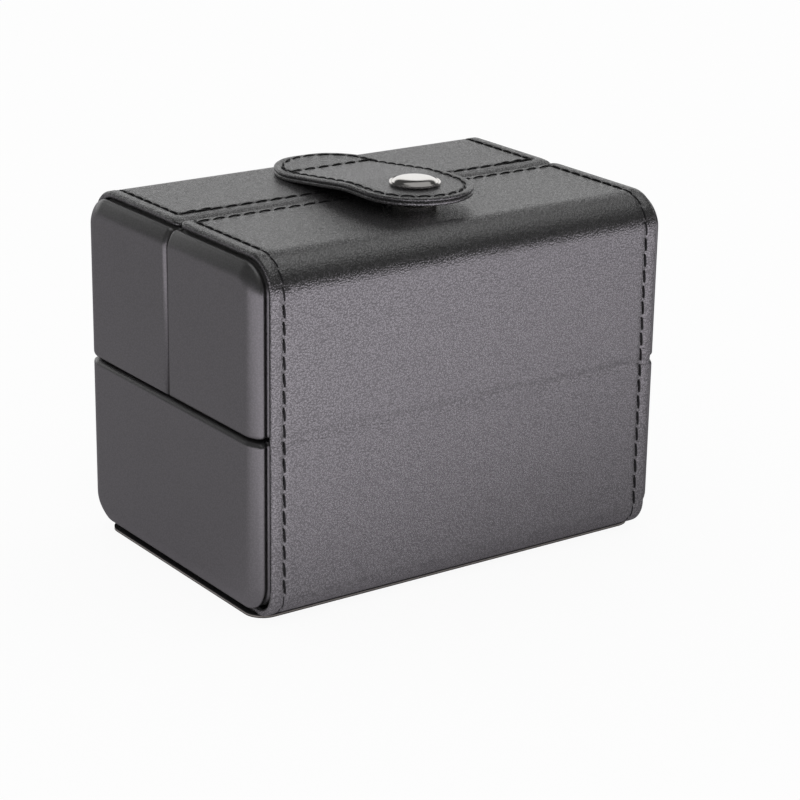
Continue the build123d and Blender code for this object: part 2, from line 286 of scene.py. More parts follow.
@dataclass(frozen=True)
class Leather(Finish):
    """Grained leather: glossy pebbles, and dull creases between them whose darker colour is painted
    shade.
    """

    pebble: float = 0.34 * MM
    grain_depth: float = 0.07 * MM
    shine: float = 0.27
    gloss: float = 2.65
    crease_share: float = 0.52
    crease_from: Pair = (0.47, 0.93)
    dull_roughness: float = 0.6
    fine_grain: float = 0.4
    relief: Pair = (0.8, 0.35)
    mottling: float = 0.07
    cloud: float = 14 * MM

    def dress(self, graph: Graph) -> None:
        """Add the nodes of the finish to a cleared graph."""
        place = graph.place()
        pebbles = graph.cells(self.pebble, at=place)
        fine = graph.noise(self.fine_grain * self.pebble, 1.0, 0.5, at=place)
        height = (1 - pebbles) * self.relief[0] + fine * self.relief[1]
        normal = graph.bump(height, self.grain_depth, 1.0)
        valley_dull_and_shade = (pebbles + fine * 0.5).fade(*self.crease_from)
        cloud = graph.noise(self.cloud, 2.0, 0.5, at=place).fade(0.3, 0.7)
        ground = graph.mix_colour(cloud, self.tone(1 - self.mottling), self.tone(1 + self.mottling))
        glossy = graph.principled(ground, fine * 0.12 + (self.shine - 0.06), normal,
                                  IOR=self.gloss, Specular_IOR_Level=1.0)
        # The creases' lower gloss is the leather's own; their colour at half the leather's is painted
        # shade.
        dull = graph.principled(self.tone(0.5), self.dull_roughness, normal,
                                IOR=1.45, Specular_IOR_Level=0.35)
        share = valley_dull_and_shade * self.crease_share
        graph.finish(graph.node("ShaderNodeMixShader", inputs={0: share, 1: glossy, 2: dull}))


@dataclass(frozen=True)
class Velvet(Finish):
    """Short pile cloth with soft patches where the pile leans another way."""

    patch: float = 7 * MM
    fibre: float = 0.16 * MM
    sheen: float = 0.5

    def dress(self, graph: Graph) -> None:
        """Add the nodes of the finish to a cleared graph."""
        lean = graph.noise(self.patch, 3.0, 0.6).fade(0.35, 0.65)
        pile = graph.noise(self.fibre, 2.0, 0.7)
        colour = graph.mix_colour(lean * 0.6 + pile * 0.4, self.colour, self.tone(1.9))
        normal = graph.bump(pile * 0.6 + lean * 0.4, 0.12 * MM, 0.8)
        graph.surface(colour, lean * 0.12 + 0.82, normal,
                      Sheen_Weight=self.sheen, Sheen_Roughness=0.4)


@dataclass(frozen=True)
class PolishedMetal(Finish):
    """Nickel plate with faint wipe marks."""

    roughness: float = 0.13

    def dress(self, graph: Graph) -> None:
        """Add the nodes of the finish to a cleared graph."""
        smear = graph.noise(2.5 * MM, 3.0, 0.6)
        scuffs = graph.noise(0.25 * MM, 2.0, 0.7)
        colour = graph.mix_colour(smear, self.tone(0.93), self.colour)
        normal = graph.bump(scuffs, 0.004 * MM, 0.5)
        graph.surface(colour, smear * 0.1 + (self.roughness - 0.05), normal, Metallic=1.0)


@dataclass(frozen=True)
class Thread(Finish):
    """Waxed thread, twisted from strands that follow its length."""

    twist: float = 0.45 * MM

    def dress(self, graph: Graph) -> None:
        """Add the nodes of the finish to a cleared graph."""
        strands = graph.noise(self.twist, 2.0, 0.5)
        colour = graph.mix_colour(strands.fade(0.35, 0.7), self.tone(0.6), self.colour)
        normal = graph.bump(strands, 0.08 * MM, 0.7)
        graph.surface(colour, strands * 0.2 + 0.42, normal)


@dataclass(frozen=True)
class Board(Finish):
    """Grey board or foam: specks in a dull ground."""

    speck: float = 0.5 * MM
    roughness: float = 0.9

    def dress(self, graph: Graph) -> None:
        """Add the nodes of the finish to a cleared graph."""
        specks = graph.noise(self.speck, 4.0, 0.65)
        colour = graph.mix_colour(specks.fade(0.3, 0.7), self.tone(0.75), self.colour)
        normal = graph.bump(specks, 0.05 * MM, 0.8)
        graph.surface(colour, specks * 0.1 + (self.roughness - 0.05), normal)


@dataclass(frozen=True)
class CutSheet(Finish):
    """Thin dark sheet whose core is pale at the cut edge."""

    core: Rgb
    thickness: float

    def dress(self, graph: Graph) -> None:
        """Add the nodes of the finish to a cleared graph."""
        place = graph.place()
        height = graph.part_of(place, "Z") * (1 / self.thickness)
        facing = graph.node("ShaderNodeNewGeometry", output="True Normal")
        upright = abs(graph.part_of(facing, "Z")).fade(0.3, 0.6, 1.0, 0.0)
        layer = height.fade(0.2, 0.35) * height.fade(0.62, 0.78, 1.0, 0.0) * upright
        grain = graph.noise(0.5 * MM, 3.0, 0.6, at=place)
        dark = graph.mix_colour(grain, self.tone(0.7), self.colour)
        graph.surface(graph.mix_colour(layer * 0.8, dark, self.core), grain * 0.15 + 0.55,
                      graph.bump(grain, 0.05 * MM, 0.7))


class Finishes:
    """The materials of the box, each made once."""

    def __init__(self) -> None:
        """Make every material."""
        charcoal = (0.022, 0.021, 0.022)
        self.cover = Leather("grained cover leather", charcoal).material()
        self.skin = Leather("smoother end leather", (0.026, 0.025, 0.026), grain_depth=0.014 * MM,
                            shine=0.33, gloss=2.1, crease_share=0.16).material()
        self.strap = Leather("strap leather", charcoal).material()
        self.lining = Velvet("lining velvet", (0.012, 0.012, 0.014)).material()
        self.pillow = Velvet("pillow velvet", (0.020, 0.020, 0.022), patch=9 * MM).material()
        self.metal = PolishedMetal("polished nickel", (0.80, 0.78, 0.75)).material()
        self.thread = Thread("black thread", (0.012, 0.012, 0.013)).material()
        self.board = Board("grey board", (0.30, 0.27, 0.23)).material()
        self.foam = Board("pale foam", (0.62, 0.60, 0.52), speck=0.3 * MM).material()
        self.sheet = CutSheet("bottom sheet", (0.020, 0.020, 0.021), core=(0.42, 0.38, 0.36),
                              thickness=0.6 * MM).material()


# Paths and pieces


@dataclass(frozen=True)
class Stretch:
    """A straight run of a path, or a bend where it has a radius and a turn to the right."""

    length: float = 0.0
    radius: float = 0.0
    turn: float = 0.0

    @property
    def span(self) -> float:
        """Length along the path."""
        return self.length or self.radius * abs(math.radians(self.turn))


@dataclass
class WrapPath:
    """A path in the box's end view, which goes round it clockwise with its outside to the left."""

    start: Pair
    heading: float
    stretches: list[Stretch]

    @property
    def length(self) -> float:
        """Length along the whole path."""
        return sum(s.span for s in self.stretches)

    def at(self, along: np.ndarray) -> tuple[np.ndarray, np.ndarray]:
        """Return the path's points and outward normals.

        Args:
            along: distances from the start, in millimetres, which may run past both ends.

        Returns:
            Points and unit normals, each with a column for Y and one for Z.
        """
        points = np.zeros((len(along), 2))
        normals = np.zeros((len(along), 2))
        y, z = self.start
        angle = math.radians(self.heading)
        begun = 0.0
        for index, stretch in enumerate(self.stretches):
            low = -np.inf if index == 0 else begun
            high = np.inf if index == len(self.stretches) - 1 else begun + stretch.span
            here = (along >= low) & (along <= high)
            step = along[here] - begun
            left = math.radians(90)
            if stretch.radius:
                way = -math.copysign(1.0, stretch.turn)
                centre = (y + stretch.radius * math.cos(angle + way * left),
                          z + stretch.radius * math.sin(angle + way * left))
                turned = angle + way * step / stretch.radius
                points[here, 0] = centre[0] - stretch.radius * np.cos(turned + way * left)
                points[here, 1] = centre[1] - stretch.radius * np.sin(turned + way * left)
                end = angle + way * stretch.span / stretch.radius
                y = centre[0] - stretch.radius * math.cos(end + way * left)
                z = centre[1] - stretch.radius * math.sin(end + way * left)
                angle = end
            else:
                turned = np.full(len(step), angle)
                points[here, 0] = y + step * math.cos(angle)
                points[here, 1] = z + step * math.sin(angle)
                y += stretch.length * math.cos(angle)
                z += stretch.length * math.sin(angle)
            normals[here, 0] = np.cos(turned + left)
            normals[here, 1] = np.sin(turned + left)
            begun += stretch.span
        return points, normals

    def wrap(self, flat: np.ndarray) -> np.ndarray:
        """Put points of a flat pattern where the path takes them.

        Args:
            flat: the points, as across, along and height over the path, in millimetres.

        Returns:
            The points in space, in metres.
        """
        points, normals = self.at(flat[:, 1])
        lifted = points + normals * flat[:, 2:3]
        return np.column_stack([flat[:, 0], lifted]) * MM


def coordinates(bm: bmesh.types.BMesh) -> np.ndarray:
    """Return the vertices' coordinates as an array."""
    return np.array([v.co for v in bm.verts], float).reshape(-1, 3)


def move_to(bm: bmesh.types.BMesh, places: np.ndarray) -> None:
    """Put each vertex of a mesh at its row of an array."""
    for vertex, place in zip(bm.verts, places):
        vertex.co = place


def piece(
    name: str,
    bm: bmesh.types.BMesh,
    material: bpy.types.Material,
    body: str | None,
    replaces: tuple[str, ...] = (),
    crease_angle: float | None = 40.0,
) -> bpy.types.Object:
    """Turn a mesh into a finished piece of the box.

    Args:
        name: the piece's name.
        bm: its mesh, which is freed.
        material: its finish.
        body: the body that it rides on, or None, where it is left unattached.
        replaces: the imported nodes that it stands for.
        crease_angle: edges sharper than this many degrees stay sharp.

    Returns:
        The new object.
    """
    mesh = bpy.data.meshes.new(name)
    bm.to_mesh(mesh)
    bm.free()
    mesh.materials.append(material)
    made = bpy.data.objects.new(name, mesh)
    bpy.context.scene.collection.objects.link(made)
    mesh.shade_smooth()
    if crease_angle is not None:
        mesh.set_sharp_from_angle(angle=math.radians(crease_angle))
    if replaces:
        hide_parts(*replaces)
    if body:
        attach(made, body)
    log.info("%s: %d faces", name, len(mesh.polygons))
    return made


def dip(distance: np.ndarray, width: float) -> np.ndarray:
    """Return a smooth dip that is 1 at no distance and fades out over a width."""
    return np.exp(-((distance / width) ** 2))


def ease(value: np.ndarray, low: float, high: float) -> np.ndarray:
    """Return a smooth step from 0 at low to 1 at high."""
    t = np.clip((value - low) / (high - low), 0.0, 1.0)
    return t * t * (3 - 2 * t)


# Stitching


@dataclass
class StitchRow:
    """A row of stitches on a flat pattern, from its first needle hole to its last."""

    begin: Pair
    end: Pair
    pitch: float = 3.3
    channel_depth: float = 0.16
    channel_width: float = 0.55
    hole_depth: float = 0.2
    hole_width: float = 0.42

    def __post_init__(self) -> None:
        """Fit a whole number of stitches between the ends."""
        length = math.dist(self.begin, self.end)
        count = max(1, round(length / self.pitch))
        steps = np.linspace(0.0, 1.0, count + 1)[:, None]
        self.holes = np.array(self.begin) * (1 - steps) + np.array(self.end) * steps

    def sink(self, flat: np.ndarray) -> np.ndarray:
        """Work out how far the row pulls the leather down.

        Args:
            flat: points of the flat pattern.

        Returns:
            The depth at each point.
        """
        begin, end = np.array(self.begin), np.array(self.end)
        way = (end - begin) / np.linalg.norm(end - begin)
        offset = flat[:, :2] - begin
        along = offset @ way
        beside = np.abs(offset @ np.array([-way[1], way[0]]))
        past = np.maximum(np.maximum(-along, along - np.linalg.norm(end - begin)), 0.0)
        channel = self.channel_depth * dip(np.hypot(beside, past), self.channel_width)
        pitch = np.linalg.norm(self.holes[1] - self.holes[0])
        to_hole = along - np.round(along / pitch) * pitch
        holes = self.hole_depth * dip(np.hypot(to_hole, beside), self.hole_width) * (past == 0)
        return channel + holes


@dataclass
class Seamstress:
    """Lays threads along rows of needle holes."""

    thread_radius: float = 0.18
    gap: float = 0.22
    rise: float = 0.16
    slant: float = 0.13
    bedded: float = 0.1
    bluntness: int = 5
    sides: int = 8
    rings: int = 8

    def stitch(self, bm: bmesh.types.BMesh, start: Vector, end: Vector, up: Vector) -> None:
        """Add one stitch that arches over the leather.

        Args:
            bm: the thread's mesh.
            start: its first needle hole.
            end: its second needle hole.
            up: the leather's normal between them.
        """
        way = end - start
        side = up.cross(way).normalized()
        half = way.length / 2 - self.gap
        made = bmesh.ops.create_uvsphere(bm, u_segments=self.sides, v_segments=self.rings, radius=1.0)
        middle = (start + end) / 2
        along_unit = way.normalized()
        for vertex in made["verts"]:
            x, y, z = vertex.co
            place = z * half
            round_off = max(0.0, 1 - abs(z) ** self.bluntness) ** 0.5
            ring = math.hypot(x, y)
            spread = round_off * self.thread_radius / ring if ring > 1e-6 else 0.0
            arch = self.rise * (1 - z * z) - self.bedded
            beside = x * spread + z * self.slant
            vertex.co = middle + along_unit * place + side * beside + up * (y * spread + arch)

    def sew(
        self,
        name: str,
        path: WrapPath,
        holes: list[np.ndarray],
        height: float,
        material: bpy.types.Material,
        body: str,
    ) -> bpy.types.Object:
        """Make one piece of thread from several rows of holes on a wrapped pattern.

        Args:
            name: the piece's name.
            path: the path that the pattern is wrapped on.
            holes: rows of holes, as across and along on the pattern.
            height: height of the leather over the path.
            material: the thread's finish.
            body: the body that the thread rides on.

        Returns:
            The thread.
        """
        bm = bmesh.new()
        for row in holes:
            low = np.column_stack([row, np.full(len(row), height)])
            high = np.column_stack([row, np.full(len(row), height + 1.0)])
            feet = path.wrap(low) / MM
            ups = path.wrap(high) / MM - feet
            for a, b, up_a, up_b in zip(feet[:-1], feet[1:], ups[:-1], ups[1:]):
                self.stitch(bm, Vector(a), Vector(b), Vector((up_a + up_b) / 2).normalized())
        bmesh.ops.scale(bm, vec=(MM, MM, MM), verts=bm.verts)
        bmesh.ops.recalc_face_normals(bm, faces=bm.faces)
        return piece(name, bm, material, body, crease_angle=None)


# The three parts of the outer cover


@dataclass
class Cover:
    """One part of the stitched outer cover, laid out flat and wrapped on its path."""

    path: WrapPath
    half_width: float = 44.6
    thickness: float = 1.3
    corner_cell: float = 1.75
    cell: float = 0.52
    edge_round: float = 0.55
    corner_round: float = 1.6
    hem_puff: float = 0.1
    rounded_start: bool = False
    rounded_end: bool = False
    rows: list[StitchRow] = field(default_factory=list)

    def lines(self, low: float, high: float) -> np.ndarray:
        """Space the grid lines between two edges: a wide cell at each, and small ones between.

        Args:
            low: place of the first edge.
            high: place of the second edge.

        Returns:
            The lines' places.
        """
        inner_low, inner_high = low + self.corner_cell, high - self.corner_cell
        count = round((inner_high - inner_low) / self.cell)
        return np.concatenate([[low], np.linspace(inner_low, inner_high, count + 1), [high]])

    def flat_sheet(self) -> bmesh.types.BMesh:
        """Make the sheet as cut, with its thickness and its rounded edges.

        Returns:
            The flat mesh, with its upper side at height 0.
        """
        across = self.lines(-self.half_width, self.half_width)
        along = self.lines(0.0, self.path.length)
        bm = bmesh.new()
        bmesh.ops.create_grid(bm, x_segments=len(across) - 1, y_segments=len(along) - 1, size=1.0)
        for vertex in bm.verts:
            column = round((vertex.co.x + 1) / 2 * (len(across) - 1))
            row = round((vertex.co.y + 1) / 2 * (len(along) - 1))
            vertex.co = (across[column], along[row], 0.0)
        top_faces = list(bm.faces)
        bmesh.ops.solidify(bm, geom=top_faces, thickness=self.thickness)
        low_side = min(v.co.z for v in bm.verts)
        high_side = max(v.co.z for v in bm.verts)
        for vertex in bm.verts:
            on_top = abs(vertex.co.z - high_side) < abs(vertex.co.z - low_side)
            vertex.co.z = 0.0 if on_top else -self.thickness
        bmesh.ops.recalc_face_normals(bm, faces=bm.faces)
        self.open_underside(bm)
        self.round_corners(bm)
        self.round_edges(bm)
        return bm

    def open_underside(self, bm: bmesh.types.BMesh) -> None:
        """Join the underside's small cells into strips across, because nothing shows there.

        Args:
            bm: the flat sheet.
        """
        inner = [
            e for e in bm.edges
            if all(v.co.z < -self.thickness / 2 for v in e.verts)
            and abs(e.verts[0].co.x - e.verts[1].co.x) < 1e-6
            and abs(e.verts[0].co.x) < self.half_width - 2.5 * self.corner_cell
        ]
        bmesh.ops.dissolve_edges(bm, edges=inner, use_verts=True)

    def round_corners(self, bm: bmesh.types.BMesh) -> None:
        """Round the sheet's corners at the ends that are free.

        Args:
            bm: the flat sheet.
        """
        ends = [(self.rounded_start, 0.0), (self.rounded_end, self.path.length)]
        corners = [
            e for e in bm.edges
            for wanted, end in ends
            if wanted
            and all(abs(v.co.y - end) < 1e-4 for v in e.verts)
            and all(abs(abs(v.co.x) - self.half_width) < 1e-4 for v in e.verts)
            and abs(e.verts[0].co.z - e.verts[1].co.z) > self.thickness / 2
        ]
        if corners:
            bmesh.ops.bevel(bm, geom=corners, offset=self.corner_round, segments=5, profile=0.5,
                            affect="EDGES", material=-1)

    def round_edges(self, bm: bmesh.types.BMesh) -> None:
        """Round the upper and lower rim where the leather is turned over.

        Args:
            bm: the flat sheet.
        """
        bm.normal_update()
        rim = []
        for e in bm.edges:
            flat_faces = [f for f in e.link_faces if abs(f.normal.z) > 0.9]
            wall_faces = [f for f in e.link_faces if abs(f.normal.z) < 0.1]
            if len(flat_faces) == 1 and len(wall_faces) == 1:
                wall = wall_faces[0].normal
                butt_start = wall.y < -0.9 and not self.rounded_start
                butt_end = wall.y > 0.9 and not self.rounded_end
                if not (butt_start or butt_end):
                    rim.append(e)
        bmesh.ops.bevel(bm, geom=rim, offset=self.edge_round, segments=4, profile=0.5,
                        affect="EDGES", material=-1)

    def upper(self, flat: np.ndarray, depth: float = 0.3) -> np.ndarray:
        """Return a share that is 1 down to a depth, and falls to 0 at the underside."""
        return ease(flat[:, 2], -self.thickness, -depth)

    def sink(self, flat: np.ndarray) -> np.ndarray:
        """Add up how far the rows of stitches pull the upper side down.

        Args:
            flat: points of the flat pattern.

        Returns:
            The depth at each point.
        """
        total = np.zeros(len(flat))
        for row in self.rows:
            total += row.sink(flat)
        return total

    def shaped(self, flat: np.ndarray) -> np.ndarray:
        """Dent the flat pattern along its stitches and puff its hems.

        Args:
            flat: points of the flat pattern.

        Returns:
            The points before they are wrapped.
        """
        hem = np.zeros(len(flat))
        for row in self.rows:
            begin, end = np.array(row.begin), np.array(row.end)
            if abs(begin[0] - end[0]) < 1e-6:
                outside = np.sign(begin[0]) * (flat[:, 0] - begin[0])
                width = self.half_width - abs(begin[0])
                hem = np.maximum(hem, self.hem_puff * dip(outside - 0.5 * width, 0.4 * width))
        shaped = flat.copy()
        shaped[:, 2] += self.upper(flat) * (hem - self.sink(flat))
        return shaped

    def mesh(self) -> bmesh.types.BMesh:
        """Wrap the dented sheet on its path.

        Returns:
            The mesh in its place.
        """
        bm = self.flat_sheet()
        move_to(bm, self.path.wrap(self.shaped(coordinates(bm))))
        bmesh.ops.recalc_face_normals(bm, faces=bm.faces)
        return bm


@dataclass
class Box:
    """Sizes that several parts share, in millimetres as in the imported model."""

    half_depth: float = 32.5
    height: float = 70.0
    top_bend: float = 7.0
    bottom_bend: float = 5.5
    sheet: float = 0.6
    crease: float = 36.0
    seam: float = 0.3
    butt_drop: float = 3.0

    def lid_runs(self) -> Pair:
        """Return a lid cover's upright run from its lower end, and its level run to the seam."""
        upright = self.height - self.top_bend - (self.crease - self.butt_drop)
        return upright, self.half_depth - self.top_bend - self.seam

    def front_lid_path(self) -> WrapPath:
        """Lay the path up the front and over the top to the seam.

        Returns:
            The path of the front lid's cover.
        """
        rise, top = self.lid_runs()
        return WrapPath((-self.half_depth, self.crease - self.butt_drop), 90,
                        [Stretch(rise), Stretch(radius=self.top_bend, turn=90), Stretch(top)])

    def rear_lid_path(self) -> WrapPath:
        """Lay the path from the seam over the top and down the back.

        Returns:
            The path of the rear lid's cover.
        """
        rise, top = self.lid_runs()
        return WrapPath((self.seam, self.height), 0,
                        [Stretch(top), Stretch(radius=self.top_bend, turn=90), Stretch(rise)])

    def base_path(self) -> WrapPath:
        """Lay the path down the back, under the bottom and up the front.

        Returns:
            The path of the base's cover.
        """
        side = self.crease - self.butt_drop - self.sheet - self.bottom_bend
        bottom = 2 * (self.half_depth - self.bottom_bend)
        bend = Stretch(radius=self.bottom_bend, turn=90)
        return WrapPath((self.half_depth, self.crease - self.butt_drop), -90,
                        [Stretch(side), bend, Stretch(bottom), bend, Stretch(side)])


@dataclass
class OuterCover:
    """The stitched cover: one sheet on the real box, in three parts that meet under the creases."""

    box: Box
    finishes: Finishes
    row_across: float = 41.9
    front_seam_row: float = 1.7
    rear_seam_row: float = 4.2
    rear_roll: float = 0.85
    row_stop: float = 1.5
    blend_reach: float = 1.5
    shared_reach: float = 0.8
    tack_offset: float = 0.6
    tack_length: float = 6.4
    tack_inset: float = 1.6
    crease_dent: float = 0.13
    crease_width: float = 0.9
    ridge_at: float = 1.9
    ridge_share: float = 0.3
    wobbles: tuple[Point, ...] = ((0.1, 0.21, 0.0), (0.07, 0.57, 1.1))

    def back_tacks(self, seam: float) -> list[np.ndarray]:
        """Place the doubled stitches that lock a seam row near its two ends.

        Args:
            seam: place of the seam row along the pattern.

        Returns:
            Two short rows of needle holes.
        """
        beside, length = self.tack_offset, self.tack_length
        starts = (-self.row_across + self.tack_inset, self.row_across - self.tack_inset - length)
        return [StitchRow((x, seam + beside), (x + length, seam + beside)).holes for x in starts]

    def side_rows(self, low: float, high: float) -> list[StitchRow]:
        """Return the two rows along the sheet's long edges."""
        return [StitchRow((x, low), (x, high)) for x in (-self.row_across, self.row_across)]

    def creased(self, cover: Cover, crease_along: float) -> np.ndarray:
        """Wrap a lid's cover with a soft dent and faint wrinkles along the hinge crease.

        Args:
            cover: the cover.
            crease_along: place of the crease along its pattern.

        Returns:
            The mesh in its place.
        """
        bm = cover.flat_sheet()
        flat = cover.shaped(coordinates(bm))
        upper = cover.upper(flat, 0.5)
        wobble = sum(size * np.sin(flat[:, 0] * waves + shift) for size, waves, shift in self.wobbles)
        off = flat[:, 1] - crease_along - wobble
        ridges = self.ridge_share * dip(np.abs(off) - self.ridge_at, self.crease_width)
        flat[:, 2] -= upper * self.crease_dent * (dip(off, self.crease_width) - ridges)
        move_to(bm, cover.path.wrap(flat))
        bmesh.ops.recalc_face_normals(bm, faces=bm.faces)
        return bm

    def build_base(self) -> None:
        """Make the base's cover and its thread."""
        path = self.box.base_path()
        side = path.stretches[0].span + path.stretches[1].span
        ends = [(0.0, side - self.row_stop), (path.length - side + self.row_stop, path.length)]
        rows = [row for low, high in ends for row in self.side_rows(low, high)]
        cover = Cover(path, rows=rows)
        piece("base_cover_leather", cover.mesh(), self.finishes.cover, "base",
              ("base_cover",))
        holes = [row.holes for row in rows]
        Seamstress().sew("base_cover_thread", path, holes, 0.0, self.finishes.thread, "base")

    def build_front_lid(self) -> None:
        """Make the front lid's cover, dented at the crease, and its thread."""
        path = self.box.front_lid_path()
        seam = path.length - self.front_seam_row
        sides = self.side_rows(0.0, seam)
        row = StitchRow((-self.row_across, seam), (self.row_across, seam))
        cover = Cover(path, rounded_end=True, rows=[*sides, row])
        bm = self.creased(cover, self.box.butt_drop)
        replaced = ("front_lid_cover",)
        made = piece("front_lid_cover_leather", bm, self.finishes.cover, None, replaced)
        self.bend(made, "front_lid", -1)
        self.sew_lid("front_lid", path, [r.holes for r in cover.rows], self.box.butt_drop)

    def build_rear_lid(self) -> None:
        """Make the rear lid's cover with its rolled seam edge, and its thread."""
        path = self.box.rear_lid_path()
        sides = self.side_rows(self.rear_seam_row, path.length)
        row = StitchRow((-self.row_across, self.rear_seam_row), (self.row_across, self.rear_seam_row))
        cover = RolledCover(path, rounded_start=True, rows=[*sides, row],
                            roll_from=self.rear_seam_row, roll_drop=self.rear_roll)
        bm = self.creased(cover, path.length - self.box.butt_drop)
        replaced = ("rear_lid_cover",)
        made = piece("rear_lid_cover_leather", bm, self.finishes.cover, None, replaced)
        self.bend(made, "rear_lid", 1)
        holes = [r.holes for r in cover.rows] + self.back_tacks(self.rear_seam_row)
        self.sew_lid("rear_lid", path, holes, path.length - self.box.butt_drop)

    def bend(self, made: bpy.types.Object, lid: str, side: int) -> None:
        """Bake a lid's cover's transform into its mesh.

        Args:
            made: the cover.
            lid: not used.
            side: not used.
        """
        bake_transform(made)

    def sew_lid(self, lid: str, path: WrapPath, rows: list[np.ndarray], crease_along: float) -> None:
        """Sew a lid's rows: stitches on the lid ride with it, and those under the crease stay put.

        Args:
            lid: the lid's body.
            path: the path of its cover.
            rows: rows of needle holes.
            crease_along: place of the crease along the path.
        """
        on_lid, on_base = [], []
        for row in rows:
            toward_base = (row[:, 1] - crease_along) * (1 if crease_along > path.length / 2 else -1)
            on_lid.append(row[toward_base < self.shared_reach])
            on_base.append(row[toward_base > -self.shared_reach])
        threads = Seamstress()
        threads.sew(f"{lid}_thread", path, on_lid, 0.0, self.finishes.thread, lid)
        threads.sew(f"{lid}_crease_thread", path, [h for h in on_base if len(h) > 1], 0.0,
                    self.finishes.thread, "base")


@dataclass
class RolledCover(Cover):
    """A cover whose seam edge is rolled down past its row of stitches."""

    roll_from: float = 4.2
    roll_drop: float = 0.85
    roll_share: float = 0.97

    def shaped(self, flat: np.ndarray) -> np.ndarray:
        """Roll the seam edge of the dented pattern down.

        Args:
            flat: points of the flat pattern.

        Returns:
            The points before they are wrapped.
        """
        shaped = super().shaped(flat)
        share = np.clip((self.roll_from - flat[:, 1]) / self.roll_from, 0.0, 1.0)
        rolled = 1 - np.sqrt(1 - share**2 * self.roll_share)
        shaped[:, 2] -= self.upper(flat) * self.roll_drop * rolled
        return shaped


# Strap and snap


